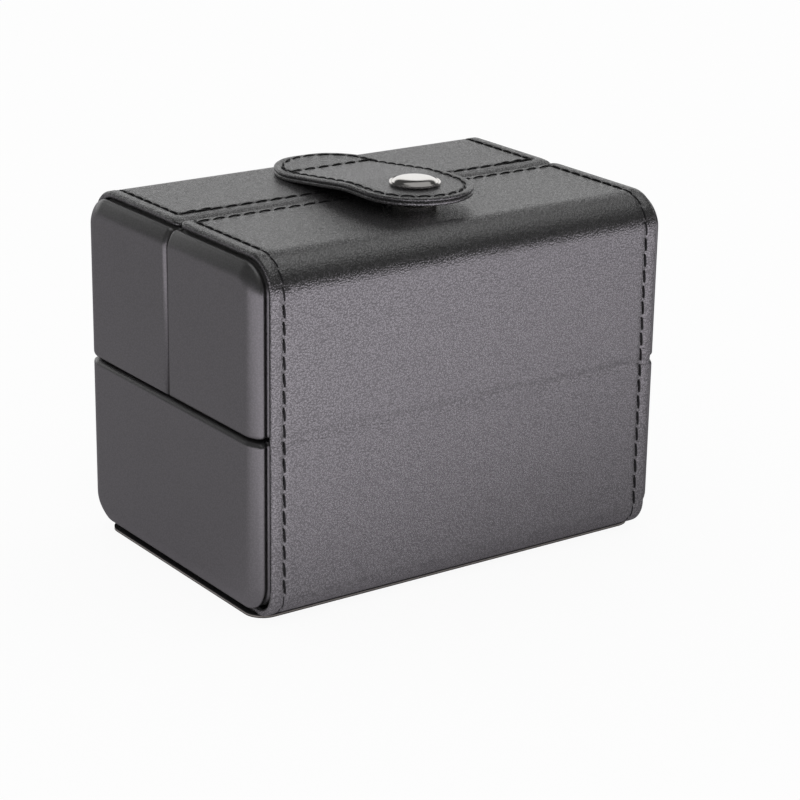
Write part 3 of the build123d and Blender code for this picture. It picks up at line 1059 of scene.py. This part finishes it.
@dataclass
class Strap:
    """The pill-shaped snap strap: two layers of leather sewn round the edge."""

    box: Box
    finishes: Finishes
    radius: float = 11.3
    front_y: float = -13.0
    flex_y: float = 16.0
    lift: float = 2.4
    rise_start: float = 15.0
    rise_end: float = -5.4
    bend_radius: float = 30.0
    end_turn: float = 60.0
    slope_gain: float = 0.2
    layer: float = 0.8
    row_inset: float = 1.65
    pitch: float = 3.1
    knot_holes: tuple[tuple[Pair, Pair], ...] = (
        ((-2.3, 0.35), (0.35, -0.25)),
        ((-2.07, -0.3), (0.25, 0.45)),
        ((0.1, 1.1), (0.1, -2.3)),
    )
    top_rim: float = 0.36
    under_rim: float = 0.3
    under_inset: float = 0.05
    row_dent: Pair = (0.2, 0.5)
    cross_dent: Pair = (0.16, 0.6)
    insets: tuple[float, ...] = (0.35, 0.35, 0.35, 0.3, 0.3, 0.3, 0.3, 0.35, 0.4, 0.6)
    strip: float = 0.75

    def path(self) -> WrapPath:
        """Lay the line of the strap's underside, from its front tip back and down onto the lid.

        Returns:
            The path of the strap.
        """
        tip = self.front_y - self.radius
        run = self.rise_start - self.rise_end
        slope = math.degrees(math.atan2(self.lift, run))
        cut = self.bend_radius * math.tan(math.radians(slope / 2))
        level = self.rise_end - cut - tip
        middle = math.hypot(run, self.lift) - 2 * cut
        back = self.box.half_depth - self.box.top_bend - self.rise_start - cut
        return WrapPath((tip, self.box.height + self.lift), 0, [
            Stretch(level), Stretch(radius=self.bend_radius, turn=slope), Stretch(middle),
            Stretch(radius=self.bend_radius, turn=-slope), Stretch(back),
            Stretch(radius=self.box.top_bend, turn=self.end_turn),
        ])

    def straight(self) -> float:
        """Return the distance between the pill's two centres, along the path."""
        return self.flex_y - self.front_y + self.slope_gain

    def pill(self, inset: float, arc_steps: int, side_steps: int) -> np.ndarray:
        """Draw a closed pill outline on the flat pattern.

        Args:
            inset: how far it stands in from the strap's edge.
            arc_steps: points on each round end.
            side_steps: points on each straight side, with its ends.

        Returns:
            The outline's points, as across and along.
        """
        radius = self.radius - inset
        near, far = self.radius, self.radius + self.straight()
        back = [(radius * math.cos(t), far + radius * math.sin(t))
                for t in np.linspace(0, math.pi, arc_steps)]
        left = [(-radius, y) for y in np.linspace(far, near, side_steps)[1:-1]]
        front = [(radius * math.cos(t), near + radius * math.sin(t))
                 for t in np.linspace(math.pi, 2 * math.pi, arc_steps)]
        right = [(radius, y) for y in np.linspace(near, far, side_steps)[1:-1]]
        return np.array(back + left + front + right)

    def holes(self) -> list[np.ndarray]:
        """Space the needle holes round the edge and across the flex line.

        Returns:
            The closed row round the edge, and the row across.
        """
        outline = self.pill(self.row_inset, 60, 60)
        closed = np.vstack([outline, outline[:1]])
        steps = np.concatenate([[0.0], np.cumsum(np.linalg.norm(np.diff(closed, axis=0), axis=1))])
        count = round(steps[-1] / self.pitch)
        marks = np.linspace(0.0, steps[-1], count + 1)
        loop = np.column_stack([np.interp(marks, steps, closed[:, i]) for i in range(2)])
        half = self.radius - self.row_inset
        y = self.radius + self.straight()
        cross = StitchRow((-half, y), (half, y), self.pitch).holes
        return [loop, cross]

    def knot(self) -> list[np.ndarray]:
        """Place the short crossed stitches that lock the flex row at its right end.

        Returns:
            A pair of needle holes for each.
        """
        corner = (self.radius - self.row_inset, self.radius + self.straight())
        return [np.array(pair) + corner for pair in self.knot_holes]

    def layer_mesh(
        self, low: float, high: float, inset: float, edge_round: float, sunk: bool
    ) -> bmesh.types.BMesh:
        """Return one layer of the strap.

        Args:
            low: height of its lower side over the path.
            high: height of its upper side.
            inset: how far its edge stands in.
            edge_round: radius of its rounded rims.
            sunk: whether the stitches pull its upper side down.

        Returns:
            The wrapped layer.
        """
        bm = bmesh.new()
        outline = self.pill(inset, 49, 40)
        bmesh.ops.create_circle(bm, cap_ends=True, radius=1.0, segments=len(outline))
        for vertex, (x, y) in zip(bm.verts, outline):
            vertex.co = (x, y, high)
        grown = bmesh.ops.extrude_face_region(bm, geom=list(bm.faces))
        for vertex in (v for v in grown["geom"] if isinstance(v, bmesh.types.BMVert)):
            vertex.co.z = low
        bmesh.ops.recalc_face_normals(bm, faces=bm.faces)
        rim = [e for e in bm.edges if abs(e.verts[0].co.z - e.verts[1].co.z) < 1e-6]
        bmesh.ops.bevel(bm, geom=rim, offset=edge_round, segments=4, profile=0.5,
                        affect="EDGES", material=-1)
        caps = sorted(bm.faces, key=lambda f: -f.calc_area())[:2]
        top = max(caps, key=lambda f: f.calc_center_median().z)
        for step in self.insets:
            bmesh.ops.inset_region(bm, faces=[top], thickness=step, use_even_offset=True)
        for y in np.arange(1.0, 2 * self.radius + self.straight(), self.strip):
            inner = [f for f in bm.faces if f.calc_area() > 20.0]
            near = inner + [e for f in inner for e in f.edges] + [v for f in inner for v in f.verts]
            bmesh.ops.bisect_plane(bm, geom=list(dict.fromkeys(near)), plane_co=(0, y, 0),
                                   plane_no=(0, 1, 0), dist=1e-4)
        flat = coordinates(bm)
        if sunk:
            flat[:, 2] -= ease(flat[:, 2], low, high) * self.sink(flat)
        move_to(bm, self.path().wrap(flat))
        bmesh.ops.recalc_face_normals(bm, faces=bm.faces)
        return bm

    def sink(self, flat: np.ndarray) -> np.ndarray:
        """Work out how far the stitching pulls the strap's upper side down.

        Args:
            flat: points of the flat pattern.

        Returns:
            The depth at each point.
        """
        near, far = self.radius, self.radius + self.straight()
        along = np.clip(flat[:, 1], near, far)
        from_spine = np.hypot(flat[:, 0], flat[:, 1] - along)
        row_at = self.radius - self.row_inset
        (row_depth, row_width), (cross_depth, cross_width) = self.row_dent, self.cross_dent
        round_edge = row_depth * dip(np.abs(from_spine - row_at), row_width)
        return round_edge + cross_depth * dip(flat[:, 1] - far, cross_width) * (from_spine < row_at)

    def build(self) -> None:
        """Make both layers and the thread."""
        layers = (
            ("strap_top_leather", self.layer, 2 * self.layer, 0.0, self.top_rim, True,
             ("strap_end_leather", "strap_leather")),
            ("strap_under_leather", 0.0, self.layer, self.under_inset, self.under_rim, False,
             ("strap_end_backing", "strap_backing")),
        )
        for name, low, high, inset, rim, sunk, nodes in layers:
            bm = self.layer_mesh(low, high, inset, rim, sunk)
            made = piece(name, bm, self.finishes.strap, None, nodes)
            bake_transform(made)
        loop, cross = self.holes()
        path = self.path()
        far = self.radius + self.straight()
        threads = Seamstress()
        count = len(loop) - 1
        behind = [i for i in range(count) if (loop[i, 1] + loop[i + 1, 1]) / 2 > far]
        ahead = [i for i in range(count) if i not in behind]
        height, thread = 2 * self.layer, self.finishes.thread
        threads.sew("strap_thread", path, [loop[i:i + 2] for i in ahead], height, thread, "strap")
        on_end = [loop[i:i + 2] for i in behind] + [cross] + self.knot()
        threads.sew("strap_end_thread", path, on_end, height, thread, "rear_lid")


@dataclass
class Snap:
    """The snap: a polished domed cap with a rolled rim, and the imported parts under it."""

    strap: Strap
    finishes: Finishes
    radius: float = 5.0
    rim: float = 0.42
    dome: float = 0.95
    seat: float = 0.02
    flatness: float = 5.0
    shoulder: float = 0.75
    rim_height: float = 0.8
    turns: int = 72

    def profile(self) -> list[Point]:
        """Draw the cap's section from its middle out over the rolled rim and back under.

        Returns:
            The section's points, in the plane across the strap.
        """
        foot = self.strap.box.height + self.strap.lift + 2 * self.strap.layer + self.seat
        inner = self.radius - self.rim
        seat = foot + self.rim
        crown = [(r, seat + self.dome * (1 - (r / inner) ** self.flatness) ** self.shoulder)
                 for r in np.linspace(0.0, inner - 0.05, 16)]
        roll = [(inner + self.rim * math.cos(t), seat + self.rim * math.sin(t) * self.rim_height)
                for t in np.linspace(math.radians(75), math.radians(-90), 12)]
        under = [(self.radius - 3 * self.rim, foot + 0.1), (0.0, foot + 0.1)]
        return [(r, 0.0, z) for r, z in [*crown, *roll, *under]]

    def build(self) -> None:
        """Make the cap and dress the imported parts."""
        bm = bmesh.new()
        ring = [bm.verts.new(co) for co in self.profile()]
        edges = [bm.edges.new(pair) for pair in zip(ring[:-1], ring[1:])]
        bmesh.ops.spin(bm, geom=[*ring, *edges], cent=(0, 0, 0), axis=(0, 0, 1), angle=math.tau,
                       steps=self.turns, use_merge=True)
        bmesh.ops.remove_doubles(bm, verts=bm.verts, dist=1e-3)
        bmesh.ops.recalc_face_normals(bm, faces=bm.faces)
        bmesh.ops.translate(bm, vec=(0, self.strap.front_y, 0), verts=bm.verts)
        bmesh.ops.scale(bm, vec=(MM, MM, MM), verts=bm.verts)
        piece("snap_cap_polished", bm, self.finishes.metal, "strap", ("snap_cap",),
              60.0)
        for node in ("snap_socket", "snap_spring", "snap_stud", "snap_rivet"):
            dress(node, self.finishes.metal)


def dress(node: str, material: bpy.types.Material) -> None:
    """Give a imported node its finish.

    Args:
        node: the node's name.
        material: its finish.
    """
    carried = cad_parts[node]
    carried.data.materials.clear()
    carried.data.materials.append(material)


# Boxes under the cover, linings and pillows


@dataclass
class Skins:
    """The leather skins, whose padded rims puff up beside the cover and dip under its edge."""

    box: Box
    finishes: Finishes
    puff: float = 0.65
    puff_at: float = 46.1
    puff_width: float = 0.95
    groove: float = 0.55
    groove_at: float = 44.45
    groove_width: float = 0.5
    edge_fade: Pair = (5.5, 1.5)
    foot_fade: Pair = (-5.0, -2.2)
    cuts: tuple[float, ...] = (43.2, 43.8, 44.15, 44.5, 44.85, 45.2, 45.6, 46.0, 46.4)

    def swollen(self, co: np.ndarray, normals: np.ndarray) -> np.ndarray:
        """Puff the rims of a skin beside the cover, and sink the grooves under the cover's edges.

        Args:
            co: the skin's points, in millimetres.
            normals: its normals.

        Returns:
            The moved points.
        """
        x, y, z = (np.abs(co[:, 0]), co[:, 1], co[:, 2])
        half, top = self.box.half_depth, self.box.height
        start, full = self.edge_fade
        away_y = np.sign(y) * ease(np.abs(y), half - start, half - full)
        away_z = ease(z, top - start, top - full) - ease(-z, *self.foot_fade)
        away = np.column_stack([np.zeros(len(co)), away_y, away_z])
        facing = normals[:, 1] * away_y + normals[:, 2] * away_z + np.abs(normals[:, 0]) * 0.5
        outside = facing > 0.05
        length = np.maximum(np.linalg.norm(away, axis=1, keepdims=True), 1.0)
        rise = self.puff * dip(x - self.puff_at, self.puff_width)
        fall = self.groove * dip(x - self.groove_at, self.groove_width)
        return co + away / length * ((rise - fall) * outside)[:, None]

    def build(self) -> None:
        """Make the three skins."""
        for body in ("base", "front_lid", "rear_lid"):
            bm = bmesh.new()
            bm.from_mesh(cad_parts[f"{body}_skin"].data)
            bmesh.ops.remove_doubles(bm, verts=bm.verts, dist=1e-6)
            for cut in self.cuts:
                for side in (-1, 1):
                    everything = [*bm.verts, *bm.edges, *bm.faces]
                    bmesh.ops.bisect_plane(bm, geom=everything, plane_co=(side * cut * MM, 0, 0),
                                           plane_no=(1, 0, 0), dist=1e-6)
            bm.normal_update()
            normals = np.array([v.normal for v in bm.verts])
            move_to(bm, self.swollen(coordinates(bm) / MM, normals) * MM)
            piece(f"{body}_skin_leather", bm, self.finishes.skin, body, (f"{body}_skin",))


@dataclass
class Inside:
    """Boards, pads, linings and the divider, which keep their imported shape."""

    finishes: Finishes

    def build(self) -> None:
        """Dress every carried-over node."""
        finish_of = {"board": self.finishes.board, "lining": self.finishes.lining,
                     "pad_left": self.finishes.foam, "pad_right": self.finishes.foam}
        for box in ("base", "front_lid", "rear_lid"):
            for part, finish in finish_of.items():
                dress(f"{box}_{part}", finish)
        dress("divider", self.finishes.lining)
        dress("bottom_sheet", self.finishes.sheet)


@dataclass
class Pillows:
    """Two stuffed watch pillows in velvet: one is swollen as cloth, the other is its mirror image."""

    finishes: Finishes
    scale_up: float = 10.0
    voxel: float = 11 * MM
    shrink: float = 0.985
    pressure: float = 4.0
    frames: int = 20
    reach: float = 9 * MM
    seam_inset: float = 2.4
    seam_depth: float = 0.45
    seam_width: float = 0.7
    puckers: int = 34
    pucker_depth: float = 0.13
    pucker_reach: float = 4.5
    drift: float = 1.7
    drift_waves: int = 3

    def form(self, node: str) -> bpy.types.Object:
        """Remesh a copy of a pillow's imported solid, at the size of a cushion.

        Args:
            node: the pillow's node.

        Returns:
            The copy, about the origin.
        """
        bm = bmesh.new()
        bm.from_mesh(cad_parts[node].data)
        bmesh.ops.remove_doubles(bm, verts=bm.verts, dist=1e-5)
        middle = np.mean([np.array(corner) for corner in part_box(node)], axis=0)
        bmesh.ops.translate(bm, vec=-Vector(middle), verts=bm.verts)
        size = self.scale_up * self.shrink
        bmesh.ops.scale(bm, vec=(size, size, size), verts=bm.verts)
        mesh = bpy.data.meshes.new(node)
        bm.to_mesh(mesh)
        bm.free()
        made = bpy.data.objects.new(f"{node}_form", mesh)
        bpy.context.scene.collection.objects.link(made)
        remesh = made.modifiers.new("remesh", "REMESH")
        remesh.mode = "VOXEL"
        remesh.voxel_size = self.voxel
        self.apply(made)
        return made

    @staticmethod
    def apply(made: bpy.types.Object) -> None:
        """Make an object's modifiers part of its mesh.

        Args:
            made: the object.
        """
        graph = bpy.context.evaluated_depsgraph_get()
        mesh = bpy.data.meshes.new_from_object(made.evaluated_get(graph))
        made.modifiers.clear()
        made.data = mesh

    def swell(self, made: bpy.types.Object) -> None:
        """Blow a form up as cloth, no further than the reach.

        Args:
            made: the remeshed form.
        """
        before = np.array([v.co for v in made.data.vertices])
        cloth = made.modifiers.new("cloth", "CLOTH")
        cloth.settings.use_pressure = True
        cloth.settings.uniform_pressure_force = self.pressure
        cloth.settings.effector_weights.gravity = 0.0
        scene = bpy.context.scene
        for step in range(1, self.frames + 1):
            scene.frame_set(step)
        self.apply(made)
        scene.frame_set(1)
        moved = np.array([v.co for v in made.data.vertices]) - before
        length = np.linalg.norm(moved, axis=1, keepdims=True)
        moved *= np.minimum(1.0, self.reach / np.maximum(length, 1e-9))
        for vertex, place in zip(made.data.vertices, before + moved):
            vertex.co = place

    def seamed(self, co: np.ndarray, normals: np.ndarray) -> np.ndarray:
        """Sink a puckered seam round each end of a pillow.

        Args:
            co: the pillow's points, in millimetres about its middle.
            normals: its normals.

        Returns:
            The moved points.
        """
        inset = np.abs(co[:, 0]).max() - np.abs(co[:, 0]) - self.seam_inset
        angle = np.arctan2(co[:, 2], co[:, 1])
        pull = self.seam_depth * dip(inset, self.seam_width)
        folds = np.cos(self.puckers * angle + self.drift * np.sin(self.drift_waves * angle))
        pull += self.pucker_depth * folds * dip(inset - self.seam_width, self.pucker_reach)
        return co - normals * pull[:, None]

    def build(self) -> None:
        """Make both pillows."""
        form = self.form("pillow_right")
        self.swell(form)
        middle = np.mean([np.array(corner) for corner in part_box("pillow_right")], axis=0)
        for side, way in (("right", 1), ("left", -1)):
            bm = bmesh.new()
            bm.from_mesh(form.data)
            bm.normal_update()
            normals = np.array([v.normal for v in bm.verts])
            co = self.seamed(coordinates(bm) / self.scale_up / MM, normals) * MM + middle
            move_to(bm, co * (way, 1, 1))
            bmesh.ops.recalc_face_normals(bm, faces=bm.faces)
            made = piece(f"pillow_{side}_velvet", bm, self.finishes.pillow, f"{side}_pillow",
                         (f"pillow_{side}",), None)
            finer = made.modifiers.new("smooth", "SUBSURF")
            finer.levels = finer.render_levels = 1
        bpy.data.objects.remove(form)


# Studio


@dataclass
class Studio:
    """Pale floor, one soft lamp, white surroundings and the camera of the photograph."""

    azimuth: float = 35.39
    elevation: float = 18.96
    roll: float = 0.87
    distance: float = 503.03 * MM
    target: Point = (6.53 * MM, 0.0, 25.49 * MM)
    lens: float = 111.9
    floor_size: float = 12.0
    floor_grey: float = 0.88
    floor_shade_fade: Pair = (0.015, 0.14)
    floor_glow: Pair = (0.27, 1.0)
    floor_lean: float = 0.4
    floor_tint: Rgb = (0.97, 0.9, 1.0)
    seen_share: float = 0.93
    mirrored_share: float = 0.9
    backdrop_way: Pair = (0.5, 0.85)
    backdrop_sides: Pair = (0.45, 0.8)
    backdrop_top: Pair = (0.375, 0.5)
    backdrop_glow: float = 0.95
    dim_glow: float = 0.05
    soft_light: float = 0.78
    lamp_place: Point = (0.3, 0.0, 1.25)
    lamp_size: Pair = (1.4, 1.4)
    lamp_power: float = 2.0
    lamp_aim: Point = (0.0, 0.0, 0.035)

    def camera(self) -> None:
        """Place the camera at the photograph's viewing angle."""
        az, el, roll = (math.radians(a) for a in (self.azimuth, self.elevation, self.roll))
        back = Vector((-math.sin(az) * math.cos(el), -math.cos(az) * math.cos(el), math.sin(el)))
        level = Vector((math.cos(az), -math.sin(az), 0.0))
        over = level.cross(-back)
        right = level * math.cos(roll) + over * math.sin(roll)
        up = over * math.cos(roll) - level * math.sin(roll)
        data = bpy.data.cameras.new("camera")
        data.lens = self.lens
        data.sensor_width = 36.0
        data.clip_start = 0.01
        data.clip_end = 50.0
        made = bpy.data.objects.new("camera", data)
        turn = Matrix((right, up, back)).transposed().to_4x4()
        made.matrix_world = Matrix.Translation(Vector(self.target) + back * self.distance) @ turn
        bpy.context.scene.collection.objects.link(made)
        bpy.context.scene.camera = made

    def floor(self) -> None:
        """Lay a pale floor that looks white and keeps a faint shadow; in reflections its glow carries
        painted shade, dim near and behind the box.
        """
        bm = bmesh.new()
        bmesh.ops.create_grid(bm, x_segments=1, y_segments=1, size=self.floor_size / 2)
        mesh = bpy.data.meshes.new("floor")
        bm.to_mesh(mesh)
        bm.free()
        made = bpy.data.objects.new("floor", mesh)
        material = bpy.data.materials.new("white floor")
        graph = Graph(material)
        camera, glossy, through = self.rays(graph)
        place = graph.place()
        # Painted shade: the floor's glow in reflections fades from full in front to dim near and
        # behind the box.
        ahead = graph.part_of(place, "X") * -self.floor_lean - graph.part_of(place, "Y")
        glow_with_painted_shade = ahead.fade(*self.floor_shade_fade, *self.floor_glow)
        tint, grey = (*self.floor_tint, 1.0), (*[self.floor_grey] * 3, 1.0)
        dull = graph.node("ShaderNodeBsdfDiffuse", inputs={"Color": grey})
        glow = graph.node("ShaderNodeEmission", inputs={"Color": (1, 1, 1, 1), "Strength": 1.0})
        mirrored = graph.node("ShaderNodeEmission", inputs={"Color": tint, "Strength": glow_with_painted_shade})
        seen = (camera + through) * self.seen_share
        plain = graph.node("ShaderNodeMixShader", inputs={0: seen, 1: dull, 2: glow})
        share = glossy * self.mirrored_share
        graph.finish(graph.node("ShaderNodeMixShader", inputs={0: share, 1: plain, 2: mirrored}))
        mesh.materials.append(material)
        bpy.context.scene.collection.objects.link(made)

    @staticmethod
    def rays(graph: Graph) -> tuple[Signal, Signal, Signal]:
        """Tell camera rays, glossy rays and rays through glass apart.

        Args:
            graph: the graph that asks.

        Returns:
            Three marks, each 1 for its own rays and 0 for others.
        """
        camera = graph.node("ShaderNodeLightPath", output="Is Camera Ray")
        outputs = camera.socket.node.outputs
        others = (Signal(graph, outputs[f"Is {kind} Ray"]) for kind in ("Glossy", "Transmission"))
        return camera, *others

    def lamp(self) -> None:
        """Hang one soft lamp overhead that faces the box."""
        data = bpy.data.lights.new("overhead", "AREA")
        data.shape = "RECTANGLE"
        data.size, data.size_y = self.lamp_size
        data.energy = self.lamp_power
        made = bpy.data.objects.new("overhead", data)
        made.location = self.lamp_place
        facing = Vector(self.lamp_aim) - Vector(self.lamp_place)
        made.rotation_euler = facing.to_track_quat("-Z", "Y").to_euler()
        bpy.context.scene.collection.objects.link(made)

    def world(self) -> None:
        """Fill the surroundings: white to the camera, and in the leather a low backdrop behind."""
        made = bpy.data.worlds.new("studio")
        bpy.context.scene.world = made
        graph = Graph(made)
        camera, glossy, through = self.rays(graph)
        way = graph.node("ShaderNodeTexCoord", output="Generated")
        height = graph.part_of(way, "Z")
        x, y = self.backdrop_way
        leaning = graph.part_of(way, "Y") * y + graph.part_of(way, "X") * x
        behind = leaning.fade(*self.backdrop_sides)
        backdrop = behind * height.fade(*self.backdrop_top, 1.0, 0.0)
        mirrored = backdrop * self.backdrop_glow + self.dim_glow
        seen = (camera + through).math("MINIMUM", 1.0)
        strength = seen + (1 - seen) * (glossy * mirrored + (1 - glossy) * self.soft_light)
        white = {"Color": (1, 1, 1, 1), "Strength": strength}
        shown = graph.node("ShaderNodeBackground", inputs=white)
        graph.node("ShaderNodeOutputWorld", inputs={"Surface": shown})

    def build(self) -> None:
        """Set up the whole studio."""
        bpy.context.scene.view_settings.view_transform = "Standard"
        self.camera()
        self.floor()
        self.world()
        self.lamp()


def main() -> None:
    """Build the studio and every part of the box."""
    logging.basicConfig(level=logging.INFO, format="%(message)s")
    finishes = Finishes()
    box = Box()
    Studio().build()
    cover = OuterCover(box, finishes)
    cover.build_base()
    cover.build_front_lid()
    cover.build_rear_lid()
    strap = Strap(box, finishes)
    strap.build()
    Snap(strap, finishes).build()
    Skins(box, finishes).build()
    Inside(finishes).build()
    Pillows(finishes).build()


if __name__ == "__main__":
    main()
